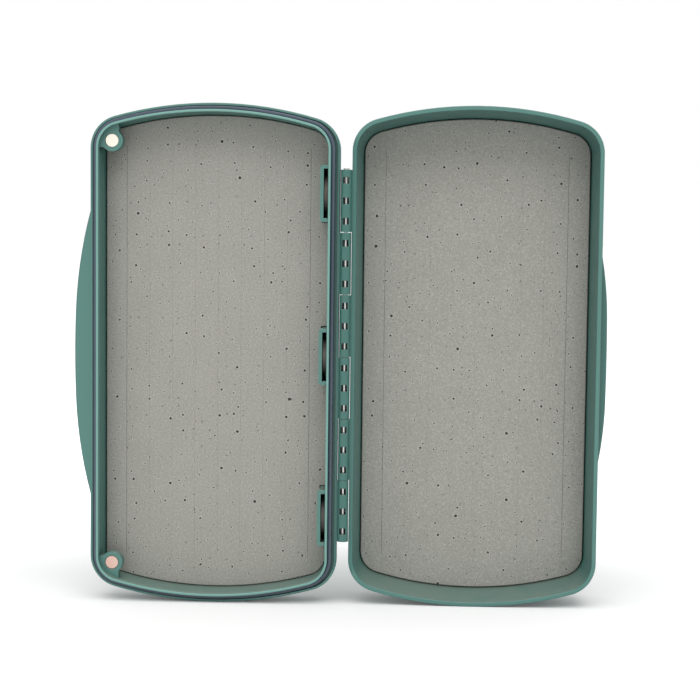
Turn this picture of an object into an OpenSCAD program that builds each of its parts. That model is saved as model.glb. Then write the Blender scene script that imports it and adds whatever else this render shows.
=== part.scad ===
// Pocket case for fishing flies: two trays joined by a long pin hinge, open flat and
// standing on its curved ends. X runs across both trays, Y from the open side to the
// backs, Z along the case.

/* [Case] */
// Length of each tray, apex to apex of its curved ends
case_len = 184; // [176:1:192]
// Width of each tray across its straight sides
body_w = 91.5; // [89:0.5:95]
// Radius of the tray corners
corner_r = 12; // [11.5:0.5:13]
// Radius of the curved ends
end_r = 134; // [126:2:150]
// Depth of the base tray behind the parting plane
base_depth = 14.5; // [14:0.5:16]
// Depth of the lid tray behind the parting plane
lid_depth = 23; // [21:0.5:25]
// Thickness of both tray floors
floor_t = 2; // [1.8:0.1:2.4]

/* [Rim and seal] */
// Width of the strip outside the gasket groove
strip_w = 0.85; // [0.7:0.05:0.9]
// Inset of the raised lip's outer face from the tray edge
lip_inset = 2.45; // [2.4:0.05:2.7]
// Thickness of the raised lip
lip_t = 0.9; // [0.8:0.05:1.2]
// Height of the raised lip in front of the parting plane
lip_h = 2.3; // [2:0.1:2.6]
// How far the lip and gasket sit further in on the hinge side
seal_shift = 0.9; // [0.7:0.1:1.1]
// Width of the gasket
gasket_w = 1.4; // [1.2:0.05:1.45]
// Depth of the gasket groove
groove_d = 1.9; // [1.7:0.1:2.2]
// Thickness of the lid rim
lid_rim_t = 1.6; // [1.4:0.05:1.7]

/* [Hinge] */
// Distance from the pin axis to the base tray's edge
base_off = 2.25; // [2.15:0.05:2.4]
// Distance from the pin axis to the lid tray's edge
lid_off = 2.1; // [2.1:0.05:2.3]
// Length of the row of knuckles
hinge_len = 136.8; // [132:0.6:141]
// Outer radius of a knuckle
knuckle_r = 2; // [1.9:0.05:2.05]
// Radius of the hinge pin
pin_r = 0.7; // [0.65:0.05:0.8]
// Side of the square windows in the knuckles
window_w = 2.4; // [2.1:0.1:2.6]
// Spacing of the windows along a knuckle
window_pitch = 7.4; // [7:0.1:7.6]

/* [Finger tabs] */
// How far the base tab stands out at its middle
base_tab_out = 5.8; // [4.8:0.2:6.4]
// Length of the base tab along the tray edge
base_tab_len = 105; // [99:1:112]
// How far the lid tab stands out at its middle
lid_tab_out = 2.5; // [2.1:0.1:3]
// Length of the lid tab along the tray edge
lid_tab_len = 78; // [74:1:84]
// Thickness of both tabs
tab_t = 2.2; // [1.8:0.1:2.6]
// Depth of the lid tab's front behind the parting plane
lid_tab_back = 3.5; // [3:0.1:4.5]

/* [Pads] */
// Thickness of the foam pads
pad_t = 2.6; // [2.2:0.1:3]
// Thickness of the adhesive film under each pad
film_t = 0.2; // [0.15:0.05:0.3]
// Spacing of the score lines in the pads
score_pitch = 8.5; // [8:0.05:9]
// Length of the score lines
score_len = 152.4; // [144:0.4:154]

/* [Magnets] */
// Diameter of the corner magnets
corner_magnet_d = 4.7; // [4.4:0.1:5]
// Outer diameter of the corner bosses
boss_d = 7.9; // [7.6:0.1:8.4]
// Distance of the corner magnets from the free edge of the base
boss_in = 7.9; // [7.8:0.1:8.4]
// Distance of the corner magnets from the apex of the nearer curved end
boss_end = 14.1; // [13.6:0.1:18]
// Diameter of the magnets in the spine pockets
spine_magnet_d = 13.6; // [12:0.1:13.6]
// Thickness of the magnets in the spine pockets
spine_magnet_t = 1.5; // [1.3:0.1:1.5]
// Spacing of the spine pockets along the case
spine_pitch = 59.6; // [54:0.2:62]
// Diameter of the keeper discs under the lid pad
keeper_d = 6.4; // [5:0.2:6.4]

/* [Hidden] */
$fn = 96;

case_green = [0.30, 0.49, 0.46];
seal_slate = [0.22, 0.27, 0.33];
pad_grey = [0.55, 0.54, 0.52];
film_white = [0.88, 0.88, 0.86];
steel = [0.72, 0.73, 0.74];
nickel = [0.85, 0.84, 0.82];

// Gap between each rim and the parting plane
rim_gap = 0.1;
// Reach that lets one solid overlap another before they are joined
bite = 0.4;
// Reach of a cutter past the face that it starts from
over = 1;
// Reach of a tray's middle block past its corner centres
core_lap = 0.6;
// Steps along a rounded edge
edge_steps = 5;

// Places across the case, with the pin axis at zero
base_mid = -(base_off + body_w / 2);
lid_mid = lid_off + body_w / 2;
seal_mid = base_mid - seal_shift / 2;
seal_w = body_w - seal_shift;

// Centre of an end's arc along the case, how far in from its edge the end's solid reaches,
// and how far out the cuts between ends and corners reach
end_along = case_len / 2 - end_r;
end_reach = 3 * corner_r;
cut_reach = end_r / 2;

// Heights above and below the parting plane, with the case lying on its backs
base_floor_z = floor_t - base_depth;
lid_floor_z = floor_t - lid_depth;
groove_z = -rim_gap - groove_d;

// The base's outside: a straight band at the rim, a step and a drafted wall
band_h = 3;
band_step = 0.9;
base_draft = 0.5;
base_edge_r = 3.2;
base_wall_in = 0.5;

// The lid's outside and the slope of its inner wall
lid_band_h = 2.4;
lid_step = 0.35;
lid_draft = 1;
lid_edge_r = 4;
lid_wall_in = 1.9;

// Slope of both steps behind the bands, and the small rounds at the rims, the lip and the gasket
step_rise = 0.4;
rim_round = 0.3;
lip_round = 0.25;
lip_in = lip_inset + lip_t;
gasket_round = 0.55;

// Knuckles, the webs that carry them, their windows, and the pin's bore and head
knuckle_count = 6;
knuckle_len = hinge_len / knuckle_count;
knuckle_gap = 0.2;
bore_clear = 0.05;
web_inset = 0.15;
web_t = knuckle_r - 2 * web_inset;
window_floor = 0.6;
windows_each = 3;
blind_end = 1.2;
head_flange = 0.4;
head_r = pin_r + head_flange;
head_h = 1.5;
head_seat = 1;
head_grooves = 10;
head_groove_r = 0.16;
knurl_len = 6;
knurl_groove_r = 0.08;

// Tabs, each with a long flat arc between two tighter ones
tab_round = 0.5;
tab_sink = 0.04;
base_tab_root = 0.4;
base_tab_mid_r = 400;
base_tab_end_r = 167;
lid_tab_root = 1;
lid_tab_mid_r = 900;
lid_tab_end_r = 140;

// Pads stand clear of the sloping walls and the pockets
pad_gap = 0.35;
base_pad_in = lip_in + base_wall_in + pad_gap;
lid_pad_in = lid_rim_t + lid_wall_in + pad_gap;
film_in = 0.6;
score_count = 9;
score_w = 0.35;
score_d = 0.5;
pad_bevel = 0.3;

// Corner shelves with their bosses and magnets
boss_x = base_mid - body_w / 2 + boss_in;
boss_along = case_len / 2 - boss_end;
boss_top = -0.1;
boss_t = 3.6;
boss_web = 2.5;
magnet_gap = 0.2;
magnet_sink = 0.2;
magnet_h = 3;

// Spine pockets and their magnets
pocket_wall = 1.3;
pocket_slot = 1.67;
pocket_len = 20.7;
pocket_top = 1.6;
pocket_end_wall = 1.35;
pocket_round = 1.1;
spine_face_x = -(base_off + seal_shift + lip_in);
pocket_x = spine_face_x - pocket_slot - pocket_wall;
slot_len = pocket_len - 2 * pocket_end_wall;

// Keepers let into the lid's floor
keeper_t = 1;
keeper_gap = 0.05;
keeper_x = lid_mid + body_w / 2 - boss_in;

// The origin is at the middle of the footprint of the open case
x_shift = (base_off + base_tab_out - lid_off - lid_tab_out) / 2;
y_shift = -(lid_depth - lip_h) / 2;

// Points along an arc, from angle a0 to a1
function arc(mid, r, a0, a1) =
    [for (i = [0:edge_steps]) let (a = a0 + (a1 - a0) * i / edge_steps) mid + r * [cos(a), sin(a)]];

// Place along the case of the corner centres of an outline of width w
function corner_along(w) =
    end_along + sqrt(pow(end_r - corner_r, 2) - pow(w / 2 - corner_r, 2));

// Direction from the centre of an end's arc through a corner centre
function corner_ray(w) = [w / 2 - corner_r, corner_along(w) - end_along] / (end_r - corner_r);

function to_grid(v) = round(v * 1000) / 1000;

// Edge profiles are lists of [inset, height] from the front to the back of a wall
function straight_edge(inset, top, bottom) = [[inset, top], [inset, bottom]];
function tray_edge(band, step, draft, back_r, depth) = concat(
    arc([rim_round, -rim_gap - rim_round], rim_round, 90, 180),
    [[0, -band], [step, -band - step_rise]],
    arc([step + draft + back_r, back_r - depth], back_r, 180, 270));
function lip_edge() = concat(
    arc([lip_inset + lip_round, lip_h - lip_round], lip_round, 90, 180),
    [[lip_inset, groove_z - bite]]);
function base_cavity_edge() = concat(
    [[lip_in - lip_round, lip_h + over]],
    arc([lip_in - lip_round, lip_h - lip_round], lip_round, 90, 0),
    [[lip_in, groove_z], [lip_in + base_wall_in, base_floor_z]]);
function lid_cavity_edge() = concat(
    [[lid_rim_t - rim_round, over]],
    arc([lid_rim_t - rim_round, -rim_gap - rim_round], rim_round, 90, 0),
    [[lid_rim_t + lid_wall_in, lid_floor_z]]);
function gasket_edge() = concat(
    arc([lip_inset - gasket_w + gasket_round, -gasket_round], gasket_round, 90, 180),
    [[lip_inset - gasket_w, groove_z]]);
function gasket_hole_edge() = concat(
    [[lip_inset - gasket_round, over]],
    arc([lip_inset - gasket_round, -gasket_round], gasket_round, 90, 0),
    [[lip_inset, groove_z - over]]);
function pad_edge(inset, top) =
    [[inset + pad_bevel, top], [inset, top - pad_bevel], [inset, top - pad_t]];
function tab_edge(top) = concat(
    arc([tab_round, top - tab_round], tab_round, 90, 180),
    arc([tab_round, top - tab_t + tab_round], tab_round, 180, 270));

// A quarter of the outline's corner, cut from a full turn of the profile
module corner_piece(edge, w, top, bottom) {
    mid = [w / 2 - corner_r, to_grid(corner_along(w))];
    inner = corner_r - core_lap / 2;
    intersection() {
        translate([mid[0], mid[1], 0])
            translate([0, corner_along(w) - mid[1], 0])
                rotate([0, 0, 180])
                    rotate_extrude()
                        translate([corner_r, 0])
                            mirror([1, 0])
                                polygon(concat(edge, [[inner, bottom], [inner, top]]));
        translate([0, 0, bottom - over])
            linear_extrude(top - bottom + 2 * over)
                polygon([mid, mid + [cut_reach, 0], mid + [cut_reach, cut_reach], mid + cut_reach * corner_ray(w)]);
    }
}

// One curved end between its two corners
module end_piece(edge, w, top, bottom) {
    mid = [w / 2 - corner_r, to_grid(corner_along(w))];
    outer = mid + cut_reach * corner_ray(w);
    intersection() {
        translate([0, end_along, 0])
            rotate([0, 0, 270])
                rotate_extrude()
                    translate([end_r, 0])
                        mirror([1, 0])
                            polygon(concat(edge, [[end_reach, bottom], [end_reach, top]]));
        translate([0, 0, bottom - over])
            linear_extrude(top - bottom + 2 * over)
                polygon([mid, outer, [-outer[0], outer[1]], [-mid[0], mid[1]]]);
    }
}

// Half of the straight middle of the tray
module side_piece(edge, w, top, bottom) {
    half = to_grid(corner_along(w));
    translate([0, half, 0])
        rotate([90, 0, 0])
            linear_extrude(2 * half)
                translate([w / 2, 0])
                    mirror([1, 0])
                        polygon(concat(edge, [[w / 2, bottom], [w / 2, top]]));
}

// A solid of the tray's outline, with one edge profile all round. The middle block overlaps
// the sides, ends and corners, and joins them.
module tray_solid(edge, w = body_w) {
    top = edge[0][1];
    bottom = edge[len(edge) - 1][1];
    core = [w / 2 - corner_r + core_lap, to_grid(corner_along(w)) + core_lap];
    translate([-core[0], -core[1], bottom])
        cube([2 * core[0], 2 * core[1], top - bottom]);
    for (side = [0, 1]) {
        mirror([side, 0, 0])
            side_piece(edge, w, top, bottom);
        mirror([0, side, 0])
            end_piece(edge, w, top, bottom);
        for (end = [0, 1])
            mirror([side, 0, 0])
                mirror([0, end, 0])
                    corner_piece(edge, w, top, bottom);
    }
}

// Stands the lying case up on its lower ends, open side to the front
module stand() {
    translate([x_shift, y_shift, case_len / 2])
        rotate([90, 0, 0])
            children();
}

module base_shell() {
    color(case_green)
        stand()
            difference() {
                union() {
                    base_tray();
                    for (end = [0, 1])
                        mirror([0, end, 0])
                            corner_boss();
                    for (i = [-1:1])
                        translate([0, i * spine_pitch, base_floor_z - bite])
                            linear_extrude(pocket_top - base_floor_z + bite)
                                pocket_outline();
                    finger_tab(base_tab_out, base_tab_len, base_tab_mid_r, base_tab_end_r,
                        -rim_gap - tab_sink, base_tab_root);
                    knuckles(1, -1, base_off);
                }
                for (end = [0, 1])
                    mirror([0, end, 0])
                        translate([boss_x, boss_along, boss_top - magnet_sink - magnet_h])
                            cylinder(r = corner_magnet_d / 2 + magnet_gap, h = magnet_h + magnet_sink + over);
                for (i = [-1:1])
                    translate([spine_face_x - pocket_slot, i * spine_pitch - slot_len / 2, base_floor_z])
                        cube([pocket_slot, slot_len, pocket_top - base_floor_z + over]);
                knuckle_windows(1);
                pin_bore();
            }
}

// The base tray with its gasket groove, raised lip and hollow
module base_tray() {
    difference() {
        union() {
            difference() {
                translate([base_mid, 0, 0])
                    tray_solid(tray_edge(band_h, band_step, base_draft, base_edge_r, base_depth));
                translate([base_mid, 0, 0])
                    tray_solid(straight_edge(strip_w, over, groove_z));
            }
            translate([seal_mid, 0, 0])
                tray_solid(lip_edge(), seal_w);
        }
        translate([seal_mid, 0, 0])
            tray_solid(base_cavity_edge(), seal_w);
    }
}

// A shelf across a corner, above the pad: a boss for the magnet and the web behind it
module corner_boss() {
    far = corner_r;
    intersection() {
        translate([boss_x, boss_along, boss_top - boss_t])
            linear_extrude(boss_t) {
                circle(r = boss_d / 2);
                translate([-far, -boss_web])
                    square(far + boss_web);
            }
        translate([seal_mid, 0, 0])
            tray_solid(straight_edge(lip_in - bite, lip_h, base_floor_z - over), seal_w);
    }
}

// Outline of a spine pocket, rounded where it stands out over the pad
module pocket_outline() {
    half = pocket_len / 2;
    round_x = pocket_x + pocket_round;
    for (side = [-1, 1])
        translate([round_x, side * (half - pocket_round)])
            circle(r = pocket_round);
    translate([pocket_x, pocket_round - half])
        square([pocket_round, pocket_len - 2 * pocket_round]);
    translate([round_x, -half])
        square([spine_face_x + bite - round_x, pocket_len]);
}

// Angle at which a tab's middle arc passes into its end arcs, which meet the tray's edge len apart
function tab_turn(out, len, mid_r, tip_r) =
    let (a = mid_r - tip_r, b = out - mid_r, k = 2 * a * b, m = -a * len)
    atan2(m, k) + acos((tip_r * tip_r - b * b - a * a - len * len / 4) / sqrt(k * k + m * m));

// Part of a tab: a full turn of its edge profile at one radius, cut to an outline
module tab_piece(mid, r, top, reach, outline) {
    near = [to_grid(mid[0]), to_grid(mid[1])];
    intersection() {
        translate([near[0], near[1], 0])
            translate([mid[0] - near[0], mid[1] - near[1], 0])
                rotate_extrude()
                    translate([r, 0])
                        mirror([1, 0])
                            polygon(concat(tab_edge(top), [[reach, top - tab_t], [reach, top]]));
        translate([0, 0, top - tab_t - over])
            linear_extrude(tab_t + 2 * over)
                polygon(outline);
    }
}

// A finger tab on the left edge of the base, made of its middle arc and two end arcs
module finger_tab(out, len, mid_r, tip_r, top, root) {
    edge_x = base_mid - body_w / 2;
    turn = tab_turn(out, len, mid_r, tip_r);
    mid_x = edge_x - out + mid_r;
    inner = [edge_x + root, (mid_x - edge_x - root) * tan(turn)];
    outer = [edge_x - out - over, (mid_r + over) * tan(turn)];
    reach = out + 2 * root;
    tab_piece([mid_x, 0], mid_r, top, reach,
        [inner, outer, [outer[0], -outer[1]], [inner[0], -inner[1]]]);
    for (end = [0, 1])
        mirror([0, end, 0])
            tab_piece([mid_x - (mid_r - tip_r) * cos(turn), (mid_r - tip_r) * sin(turn)], tip_r, top, reach,
                [inner, outer, [outer[0], len], [inner[0], len]]);
}

// Every other knuckle, from the first, each with a web to its own wall
module knuckles(first, side, off) {
    for (i = [first:2:knuckle_count - 1])
        translate([0, hinge_len / 2 - i * knuckle_len - knuckle_gap / 2, 0]) {
            rotate([90, 0, 0])
                cylinder(r = knuckle_r, h = knuckle_len - knuckle_gap);
            mirror([side < 0 ? 1 : 0, 0, 0])
                translate([0, knuckle_gap - knuckle_len, -web_inset - web_t])
                    cube([off + bite, knuckle_len - knuckle_gap, web_t]);
        }
}

module knuckle_windows(first) {
    for (i = [first:2:knuckle_count - 1])
        for (k = [0:windows_each - 1]) {
            along = hinge_len / 2 - (i + 0.5) * knuckle_len + (k - (windows_each - 1) / 2) * window_pitch;
            translate([-window_w / 2, along - window_w / 2, -window_floor])
                cube([window_w, window_w, knuckle_r + window_floor + over]);
        }
}

// The bore runs from the top of the hinge to a blind end in the last knuckle
module pin_bore() {
    translate([0, hinge_len / 2 + over, 0])
        rotate([90, 0, 0])
            cylinder(r = pin_r + bore_clear, h = hinge_len + over - knuckle_gap / 2 - blind_end);
}

module lid_shell() {
    color(case_green)
        stand()
            difference() {
                union() {
                    difference() {
                        translate([lid_mid, 0, 0])
                            tray_solid(tray_edge(lid_band_h, lid_step, lid_draft, lid_edge_r, lid_depth));
                        translate([lid_mid, 0, 0])
                            tray_solid(lid_cavity_edge());
                    }
                    mirror([1, 0, 0])
                        finger_tab(lid_tab_out, lid_tab_len, lid_tab_mid_r, lid_tab_end_r,
                            -lid_tab_back, lid_tab_root);
                    knuckles(0, 1, lid_off);
                }
                for (end = [0, 1])
                    mirror([0, end, 0])
                        translate([keeper_x, boss_along, lid_floor_z - keeper_t])
                            cylinder(r = keeper_d / 2 + keeper_gap, h = keeper_t + over);
                knuckle_windows(0);
                pin_bore();
                translate([0, hinge_len / 2 + over, 0])
                    rotate([90, 0, 0])
                        cylinder(r = head_r, h = head_seat + over + knuckle_gap / 2);
            }
}

// A pin with a splined head pressed into the top knuckle and a grooved stretch below it
module hinge_pin() {
    color(steel)
        stand()
            translate([0, hinge_len / 2 - knuckle_gap / 2 - head_seat, 0]) {
                rotate([90, 0, 0])
                    difference() {
                        cylinder(r = pin_r, h = hinge_len - head_seat - knuckle_gap - blind_end);
                        for (i = [0:head_grooves - 1])
                            rotate([0, 0, i * 360 / head_grooves])
                                translate([pin_r, 0, -over])
                                    cylinder(r = knurl_groove_r, h = knurl_len + over, $fn = 24);
                    }
                rotate([-90, 0, 0])
                    difference() {
                        cylinder(r = head_r, h = head_h);
                        for (i = [0:head_grooves - 1])
                            rotate([0, 0, i * 360 / head_grooves])
                                translate([head_r, 0, head_seat])
                                    cylinder(r = head_groove_r, h = head_h, $fn = 24);
                    }
            }
}

module rim_gasket() {
    color(seal_slate)
        stand()
            translate([seal_mid, 0, 0]) {
                difference() {
                    tray_solid(gasket_edge(), seal_w);
                    tray_solid(gasket_hole_edge(), seal_w);
                }
                for (side = [0, 1])
                    for (end = [0, 1])
                        mirror([side, 0, 0])
                            mirror([0, end, 0])
                                gasket_cores();
            }
}

// Round cores inside the gasket, which overlap its straight, corner and end stretches and join them
module gasket_cores() {
    inset = lip_inset - gasket_w / 2;
    bend = [seal_w / 2 - corner_r, corner_along(seal_w)];
    core_r = gasket_w / 3;
    for (at = [[seal_w / 2 - inset, bend[1]], bend + (corner_r - inset) * corner_ray(seal_w)])
        translate([at[0], at[1], groove_z + core_r])
            cylinder(r = core_r, h = groove_d - 2 * core_r);
}

// What the base pad and its film leave free for the three pockets
module base_pad_notches(grow) {
    for (i = [-1:1])
        translate([pocket_x - grow, i * spine_pitch - pocket_len / 2 - grow, base_floor_z - over])
            cube([pocket_slot + pocket_wall + corner_r, pocket_len + 2 * grow, pad_t + 2 * over]);
}

module score_lines(mid, top) {
    for (k = [0:score_count - 1])
        translate([mid + (k - (score_count - 1) / 2) * score_pitch - score_w / 2, -score_len / 2, top - score_d])
            cube([score_w, score_len, score_d + over]);
}

module base_pad() {
    top = base_floor_z + film_t + pad_t;
    color(pad_grey)
        stand()
            difference() {
                translate([seal_mid, 0, 0])
                    tray_solid(pad_edge(base_pad_in, top), seal_w);
                base_pad_notches(pad_gap);
                score_lines(base_mid, top);
            }
}

module base_pad_film() {
    color(film_white)
        stand()
            difference() {
                translate([seal_mid, 0, 0])
                    tray_solid(straight_edge(base_pad_in + film_in, base_floor_z + film_t, base_floor_z), seal_w);
                base_pad_notches(pad_gap + film_in);
            }
}

module lid_pad() {
    top = lid_floor_z + film_t + pad_t;
    color(pad_grey)
        stand()
            difference() {
                translate([lid_mid, 0, 0])
                    tray_solid(pad_edge(lid_pad_in, top));
                score_lines(lid_mid, top);
            }
}

module lid_pad_film() {
    color(film_white)
        stand()
            translate([lid_mid, 0, 0])
                tray_solid(straight_edge(lid_pad_in + film_in, lid_floor_z + film_t, lid_floor_z));
}

module corner_magnet(end) {
    color(nickel)
        stand()
            translate([boss_x, end * boss_along, boss_top - magnet_sink - magnet_h])
                cylinder(r = corner_magnet_d / 2, h = magnet_h);
}

module spine_magnet(i) {
    color(nickel)
        stand()
            translate([spine_face_x - spine_magnet_t, i * spine_pitch, base_floor_z + spine_magnet_d / 2])
                rotate([0, 90, 0])
                    cylinder(r = spine_magnet_d / 2, h = spine_magnet_t);
}

module lid_keeper(end) {
    color(nickel)
        stand()
            translate([keeper_x, end * boss_along, lid_floor_z - keeper_t])
                cylinder(r = keeper_d / 2, h = keeper_t);
}

base_shell();
lid_shell();
hinge_pin();
rim_gasket();
base_pad();
base_pad_film();
lid_pad();
lid_pad_film();
corner_magnet(1);  // corner_magnet_upper
corner_magnet(-1);  // corner_magnet_lower
spine_magnet(1);  // spine_magnet_upper
spine_magnet(0);  // spine_magnet_middle
spine_magnet(-1);  // spine_magnet_lower
lid_keeper(1);  // lid_keeper_upper
lid_keeper(-1);  // lid_keeper_lower
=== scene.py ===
"""A pocket case for fishing flies, standing open on the curved ends of its two trays.

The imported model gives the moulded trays, the pin, the magnets and the films. This script gives them
their finishes and adds the soft pieces: two slit foam pads and the rubber ring in the rim of the base.
"""

import logging
import math
from dataclasses import dataclass, field
from enum import Enum
from typing import Callable

import bpy
from mathutils import Matrix, Vector


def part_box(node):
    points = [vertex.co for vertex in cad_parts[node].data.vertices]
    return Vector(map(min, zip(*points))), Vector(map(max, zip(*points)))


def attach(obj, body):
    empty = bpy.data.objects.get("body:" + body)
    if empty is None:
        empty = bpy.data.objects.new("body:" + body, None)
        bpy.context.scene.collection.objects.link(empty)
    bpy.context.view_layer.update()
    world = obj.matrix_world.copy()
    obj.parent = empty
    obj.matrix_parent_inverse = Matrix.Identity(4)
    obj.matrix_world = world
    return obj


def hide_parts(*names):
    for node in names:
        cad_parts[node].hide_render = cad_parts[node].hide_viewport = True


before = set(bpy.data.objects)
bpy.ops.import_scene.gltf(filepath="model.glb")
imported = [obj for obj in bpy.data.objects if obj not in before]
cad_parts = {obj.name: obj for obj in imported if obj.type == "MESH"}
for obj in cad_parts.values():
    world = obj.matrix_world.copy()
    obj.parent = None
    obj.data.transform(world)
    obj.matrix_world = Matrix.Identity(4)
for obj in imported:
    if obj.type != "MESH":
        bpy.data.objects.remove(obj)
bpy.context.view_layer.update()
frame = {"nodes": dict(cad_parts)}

MM = 0.001
IMAGE_SIDE = 700.0
SENSOR_WIDTH = 36.0

log = logging.getLogger("fly_box")

Color = tuple[float, float, float, float]


def srgb(red: int, green: int, blue: int) -> Color:
    """Turns a colour as a screen shows it into the linear colour that a shader takes.

    Args:
        red: Red from 0 to 255.
        green: Green from 0 to 255.
        blue: Blue from 0 to 255.

    Returns:
        The linear colour with an alpha of 1.
    """
    parts = [value / 255 for value in (red, green, blue)]
    linear = [part / 12.92 if part <= 0.04045 else ((part + 0.055) / 1.055) ** 2.4 for part in parts]
    return (linear[0], linear[1], linear[2], 1.0)


class Side(Enum):
    """The body that a tray's pieces move with."""

    BASE = "base"
    LID = "lid"


class Bench:
    """Modelling moves that every piece needs, done with Blender's own operators."""

    @staticmethod
    def clear() -> None:
        """Leaves edit mode and deselects everything."""
        if bpy.context.mode != "OBJECT":
            bpy.ops.object.mode_set(mode="OBJECT")
        bpy.ops.object.select_all(action="DESELECT")

    @staticmethod
    def take(piece: bpy.types.Object) -> bpy.types.Object:
        """Makes one piece the only selected and the active one."""
        Bench.clear()
        piece.select_set(True)
        bpy.context.view_layer.objects.active = piece
        return piece

    @staticmethod
    def edit(piece: bpy.types.Object, kind: str = "VERT") -> None:
        """Opens a piece in edit mode with nothing selected.

        Args:
            piece: The piece to open.
            kind: VERT, EDGE or FACE, the kind of element to select.
        """
        Bench.take(piece)
        bpy.ops.object.mode_set(mode="EDIT")
        bpy.ops.mesh.select_mode(type=kind)
        bpy.ops.mesh.select_all(action="DESELECT")

    @staticmethod
    def pick_points(piece: bpy.types.Object, wanted: Callable[[Vector], bool]) -> int:
        """Selects the points of an open piece that a test accepts.

        Args:
            piece: A piece in edit mode.
            wanted: Tells from a point's place whether it is selected.

        Returns:
            How many points are selected.
        """
        bpy.ops.object.mode_set(mode="OBJECT")
        mesh = piece.data
        for face in mesh.polygons:
            face.select = False
        for edge in mesh.edges:
            edge.select = False
        count = 0
        for point in mesh.vertices:
            point.select = wanted(point.co)
            count += point.select
        bpy.ops.object.mode_set(mode="EDIT")
        return count

    @staticmethod
    def merged_copy(node: str, name: str) -> bpy.types.Object:
        """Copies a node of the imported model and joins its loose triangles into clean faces.

        Args:
            node: The node to copy.
            name: The name of the new piece.

        Returns:
            The new piece, at the origin.
        """
        source = frame["nodes"][node]
        piece = bpy.data.objects.new(name, source.data.copy())
        piece.data.name = name
        piece.data.materials.clear()
        bpy.context.scene.collection.objects.link(piece)
        Bench.edit(piece)
        bpy.ops.mesh.select_all(action="SELECT")
        bpy.ops.mesh.remove_doubles(threshold=0.002 * MM)
        bpy.ops.mesh.dissolve_limited(angle_limit=math.radians(0.5))
        bpy.ops.object.mode_set(mode="OBJECT")
        return piece

    @staticmethod
    def bevel(piece: bpy.types.Object, width: float, segments: int, angle: float) -> None:
        """Rounds the edges of a piece that turn by more than an angle.

        Args:
            piece: The piece to round.
            width: Width of the round in metres.
            segments: Number of steps across it.
            angle: Smallest turn that is rounded, in degrees.
        """
        Bench.take(piece)
        modifier = piece.modifiers.new("round", "BEVEL")
        modifier.width = width
        modifier.segments = segments
        modifier.limit_method = "ANGLE"
        modifier.angle_limit = math.radians(angle)
        modifier.use_clamp_overlap = True
        modifier.harden_normals = False
        bpy.ops.object.modifier_apply(modifier=modifier.name)

    @staticmethod
    def smooth(piece: bpy.types.Object, angle: float = 35.0) -> None:
        """Shades a piece smooth where its faces turn by less than an angle in degrees."""
        Bench.take(piece)
        bpy.ops.object.shade_smooth_by_angle(angle=math.radians(angle))
        Bench.clear()

    @staticmethod
    def level(piece: bpy.types.Object) -> None:
        """Keeps the large flat faces of a smooth piece flat where they meet small rounds."""
        Bench.take(piece)
        modifier = piece.modifiers.new("level", "WEIGHTED_NORMAL")
        modifier.weight = 100
        modifier.keep_sharp = True
        bpy.ops.object.modifier_apply(modifier=modifier.name)
        Bench.clear()

    @staticmethod
    def dress(piece: bpy.types.Object, material: bpy.types.Material) -> None:
        """Puts one material on every face of a piece, in its object's own slot."""
        if not piece.material_slots:
            piece.data.materials.append(None)
        for slot in piece.material_slots:
            slot.link = "OBJECT"
            slot.material = material


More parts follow.
